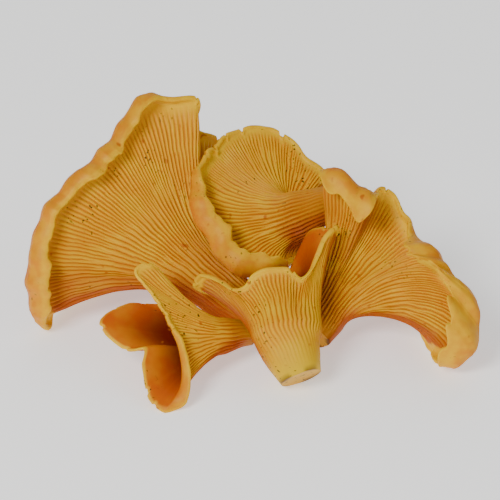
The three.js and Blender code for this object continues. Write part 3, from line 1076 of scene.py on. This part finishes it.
        # The middles of the cut face and of the funnel's floor come last.
        ends = {Layer.INSIDE: (0, 1), Layer.PAINTED_SHADE: (0, 1), Layer.BASE: (1, 0), Layer.CUT: (self.fresh_cut, 0)}
        for layer, numbers in values.items():
            whole = np.concatenate([numbers, ends.get(layer, (0, 0))])
            held = mesh.attributes.new(layer.value, "FLOAT", "POINT")
            held.data.foreach_set("value", whole.astype(np.float32))
        outward = np.vstack([*(row.outward for row in rows), np.zeros((2, 3))])
        held = mesh.attributes.new(Layer.OUTWARD.value, "FLOAT_VECTOR", "POINT")
        held.data.foreach_set("vector", outward.ravel().astype(np.float32))
        return placed(self.name + "_skin", mesh)

    def dress(self, piece: bpy.types.Object, ridges: ForkingRidges) -> bpy.types.Object:
        """Raises the ridges, gives the skin its flesh and puts it in place of the plain solid.

        Args:
            piece: The smooth skin.
            ridges: The tree that raises ridges.

        Returns:
            The finished mushroom.
        """
        values = {
            "Height": self.ridge_height * MM,
            "Seed": float(self.seed),
            "Flesh": self.finish.material(),
        }
        ridges.raise_on(piece, values)
        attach(piece, Body.ROOT.value)
        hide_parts(self.name)
        return piece


WIDE_FAN = Chanterelle(
    name="wide_fan_chanterelle",
    ridges=58,
    columns=1060,
    first_ridges=36,
    flesh=(3.6, 1.8),
    flare=0.18,
    neck_pull=0.46,
    margin_pull=0.42,
    seed=3,
    stem=[(6, -24, 1.5, 6.2), (0, -20.3, 0, 7.2), (-7, -14.9, -1.2, 8.2)],
    margin=[
        (-17.2, 49.6, -5, 1.0, 50), (-27, 50.4, -4, 1.8, 110), (-36.5, 49, -1, 2.0, 160, 1),
        (-42.5, 41.5, 2, 2.0, 165, 1.5), (-48, 33, 5, 2.0, 165, 1.5), (-54.5, 26.2, 8, 2.2, 165, 1.5),
        (-61, 20.6, 9, 2.0, 160, 1), (-66.5, 12.5, 9, 2.2, 160, 1), (-70, 4.5, 8, 2.2, 165, 1.5),
        (-72, -5, 6, 2.8, 172, 2.5), (-71.5, -15, 1, 2.8, 172, 2.5, 0.2),
        (-68.4, -23.5, -5, 1.6, 120, 0, 0.35), (-64, -17.6, -13, 1.0, 40, 0, 0.15),
        (-57, -13, -22), (-46, -10, -33), (-34, -5.8, -41.5),
        (-20, 3, -43), (-9, 13, -38), (-5.5, 26, -32),
        (-8, 34.5, -26), (-14, 38.4, -19), (-21.4, 41, -11.5),
        (-17, 44.6, -7.5, 1.0, 40),
    ],
)

MIDDLE = Chanterelle(
    name="middle_chanterelle",
    ridges=46,
    columns=860,
    first_ridges=36,
    flesh=(3.4, 1.8),
    flare=0.25,
    neck_pull=0.3,
    margin_pull=0.45,
    seed=5,
    stem=[(28.5, 15.9, -4.2, 5.3), (24.5, 14.7, -3.8, 5.9), (20.5, 13.1, -3.4, 6.8), (15, 11, -3.5, 8.0)],
    margin=[
        (25, 24.6, -16), (17.2, 32, -17), (12.5, 37.6, -19),
        (4.8, 40.4, -19), (-3.4, 39.6, -16), (-11.2, 35.2, -9.5, 1.2, 60),
        (-17, 28.2, -1.8, 1.6, 90), (-20.8, 19.2, 4, 2.2, 150, 1), (-19.6, 11.2, 7, 2.6, 165, 2),
        (-15.4, 3.2, 9, 2.6, 165, 2.5), (-10.6, -4.8, 10, 2.4, 165, 2), (-1.8, -10, 10, 2.8, 165, 3),
        (6, -9.4, 8.5, 2.4, 150, 2), (12.6, -5.8, 0, 1.0, 60), (21.4, -4.4, -14, 1.0, 20),
        (22, 6, -25, 1.0, 20), (25, 17.4, -25, 1.0, 20),
    ],
)

RIGHT = Chanterelle(
    name="right_chanterelle",
    ridges=56,
    columns=1060,
    first_ridges=32,
    lumpiness=0.18,
    fresh_cut=0.2,
    flesh=(2.4, 1.6),
    flare=0.2,
    neck_pull=0.36,
    margin_pull=0.42,
    seed=7,
    stem=[(20.5, -27.5, 9, 5.0), (22, -25.2, 7.4, 5.6), (24, -22, 5.6, 6.4)],
    margin=[
        (22.6, 25.4, 10.5, 0.8, 60), (28.6, 26.6, 13.5, 2.4, 165, 4.5), (34.6, 22, 13, 2.6, 170, 6),
        (38.8, 18.8, 9.5, 1.4, 90), (42, 20.6, 5.5, 1.0, 40), (46.2, 18, 2, 1.0, 40),
        (50.2, 12, 3, 1.2, 60), (54.2, 4.2, 7, 2.0, 130, 1), (59.6, -1, 12, 3.0, 165, 4, 0.2),
        (65.8, -11, 15, 3.8, 170, 9, 0.5), (71, -23.5, 17, 4.0, 172, 13, 0.8),
        (70.4, -31, 17.5, 3.6, 170, 12, 1.1), (66.5, -36.2, 17, 3.0, 157, 7.4, 1.7),
        (61.6, -35.4, 14, 1.4, 100, 1.5, 2.0), (57.6, -32, 8, 0.8, 50, 0, 2.0),
        (55, -26.4, -1, 0.7, 40, 0, 1.5), (54, -19, -11, 0.7, 30, 0, 0.8),
        (52, -14.6, -25, 0.7, 30, 0, 0.1), (48, -2, -27), (43, 4.5, -19),
        (37.5, 9.5, -9, 0.6, 30), (31.6, 13.4, 0.5, 0.5, 30), (25.6, 20, 6, 0.5, 30),
    ],
)

FRONT = Chanterelle(
    name="front_chanterelle",
    ridges=42,
    columns=720,
    ridge_height=0.6,
    pitch=1.2,
    first_ridges=44,
    ragged=0.6,
    edge=(0.4, 20),
    pale_base=0.9,
    flesh=(2.4, 1.5),
    flare=0.1,
    neck_pull=0.3,
    margin_pull=0.35,
    seed=9,
    stem=[(15.8, -39.6, 28, 6.7), (14, -34.8, 26.6, 8.4), (12.2, -29.6, 24.6, 9.8), (11.6, -26, 23, 11)],
    margin=[
        (-17.6, -11.4, 14.5, 0.8, 40), (-16, -7.8, 17, 0.8, 50), (-11, -9, 19.5, 0.8, 50),
        (-5.4, -12.6, 21.6), (-2, -12, 23.2), (0.8, -7.8, 24.4),
        (6, -6, 24.8), (12, -5.9, 24), (16, -9.2, 23),
        (19.2, -6.4, 21.8), (22, -1.2, 20), (24.6, 4.4, 18),
        (27.6, 7, 15.4), (27.8, 5.2, 11.8), (23.6, 6.6, 7.6),
        (19.5, 5.2, 3.2), (15.5, -3, 3.6), (9, -14, 7),
        (1, -18, 10.5), (-8, -15.6, 11.4),
    ],
)

TRUMPET = Chanterelle(
    name="small_trumpet_chanterelle",
    ridges=42,
    columns=640,
    ridge_height=0.55,
    pitch=1.2,
    first_ridges=26,
    ragged=0.5,
    edge=(0.4, 20),
    pale_base=0.3,
    flesh=(2.0, 1.2),
    flare=0.1,
    neck_pull=0.35,
    margin_pull=0.3,
    seed=13,
    stem=[(0, -26.4, 11, 3.6), (-4.2, -26.4, 14, 4.6), (-8.5, -26.9, 17, 5.6)],
    margin=[
        (-35.5, -6.5, 24.5, 0.6, 30), (-31.5, -4, 23, 0.6, 30), (-25, -10.5, 17.5),
        (-22.5, -16, 13), (-31, -17.5, 12.5), (-39, -17.6, 15),
        (-46.7, -23, 20), (-38, -31.4, 25), (-32.6, -31, 27),
        (-33, -35.5, 29.5), (-32.4, -41, 32), (-30, -47, 34.6),
        (-26, -49.9, 36, 0.8, 50), (-22.2, -45.8, 36, 1.6, 100), (-21.4, -38.4, 34.6, 1.8, 110),
        (-23, -29.5, 32, 1.6, 100), (-25.8, -22, 29, 1.0, 60), (-30, -14, 27, 0.6, 30),
    ],
)


@dataclass
class Studio:
    """The table, the soft lights and the camera."""

    distance: float = 0.9
    view_width: float = 0.16
    sensor: float = 36.0
    floor_size: float = 4.0
    floor_colour: str = "#fbfbfa"
    floor_roughness: float = 0.9
    floor_glow: float = 0.6
    room_colour: str = "#ffffff"
    room_glow: float = 0.3
    middle: tuple[float, float, float] = (0, 0, 0.03)
    farthest: float = 20

    # Each lamp's name, place, width in metres and watts.
    LAMPS: ClassVar[tuple[tuple[str, tuple[float, float, float], float, float], ...]] = (
        ("key", (-0.5, -0.8, 0.8), 0.4, 11.0),
        ("fill", (0.8, -0.4, 0.6), 0.8, 1.0),
        ("back", (0.1, 0.8, 0.7), 0.8, 2.0),
    )

    def floor(self) -> bpy.types.Object:
        """Lays a plain pale matt table top.

        Returns:
            The floor.
        """
        half = self.floor_size / 2
        mesh = bpy.data.meshes.new("table_top")
        corners = [(-half, -half, 0), (half, -half, 0), (half, half, 0), (-half, half, 0)]
        mesh.from_pydata(corners, [], [(0, 1, 2, 3)])
        floor = placed("table_top", mesh)
        paint = bpy.data.materials.new("matt_white_table")
        paint.use_nodes = True
        shader = paint.node_tree.nodes["Principled BSDF"]
        values = {
            "Base Color": linear(self.floor_colour),
            "Roughness": self.floor_roughness,
            "Emission Color": linear(self.floor_colour),
            "Emission Strength": self.floor_glow,
        }
        for name, value in values.items():
            shader.inputs[name].default_value = value
        mesh.materials.append(paint)
        return floor

    def lights(self) -> None:
        """Hangs broad soft lights, brightest above and to the left of the eye."""
        world = bpy.data.worlds.new("pale_room")
        world.use_nodes = True
        background = world.node_tree.nodes["Background"]
        background.inputs["Color"].default_value = linear(self.room_colour)
        background.inputs["Strength"].default_value = self.room_glow
        bpy.context.scene.world = world
        for name, place, size, watts in self.LAMPS:
            light = bpy.data.lights.new(name, "AREA")
            light.size = size
            light.energy = watts
            lamp = placed(name, light)
            lamp.location = place
            towards_heap = Vector(self.middle) - Vector(place)
            lamp.rotation_euler = towards_heap.to_track_quat("-Z", "Y").to_euler()

    def camera(self) -> None:
        """Sets the camera where the photograph was taken from."""
        lens = bpy.data.cameras.new("eye")
        lens.sensor_width = self.sensor
        lens.lens = self.sensor * self.distance / self.view_width
        lens.clip_end = self.farthest
        eye = placed("eye", lens)
        target = Vector(on_table(np.zeros(3)) * MM)
        back = Vector((0, -math.cos(EYE_ELEVATION), math.sin(EYE_ELEVATION)))
        eye.location = target + back * self.distance
        eye.rotation_euler = (-back).to_track_quat("-Z", "Y").to_euler()
        bpy.context.scene.camera = eye


def main() -> None:
    """Builds the studio and the mushrooms."""
    logging.basicConfig(level=logging.INFO, format="%(name)s: %(message)s")
    studio = Studio()
    studio.camera()
    studio.floor()
    studio.lights()
    ridges = ForkingRidges()
    for mushroom in (WIDE_FAN, MIDDLE, RIGHT, FRONT, TRUMPET):
        piece = mushroom.dress(mushroom.build(), ridges)
        log.info("%s: %d faces", piece.name, len(piece.data.polygons))


if __name__ == "__main__":
    main()
